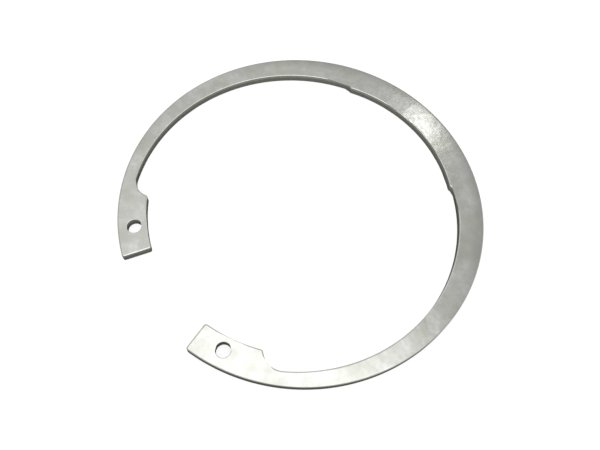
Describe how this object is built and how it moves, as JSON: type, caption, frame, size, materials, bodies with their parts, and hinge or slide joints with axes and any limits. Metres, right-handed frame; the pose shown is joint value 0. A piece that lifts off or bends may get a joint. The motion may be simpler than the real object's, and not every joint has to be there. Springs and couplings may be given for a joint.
{
  "type": "internal retaining ring",
  "caption": "Flat open spring-steel ring for a groove in a bore, with a tapered beam, a stepped pad opposite the gap and a pierced lug at each end.",
  "frame": {"origin": "on the ring's axis, half way through its thickness", "axes": "+Z along the ring's axis, out of the face with the rolled edges; the gap between the lugs faces -Y"},
  "size_m": [0.158, 0.1543, 0.004],
  "materials": {
    "spring_steel": "satin, tumbled"
  },
  "bodies": {
    "root": {"retaining_ring": "spring_steel"}
  },
  "joints": []
}
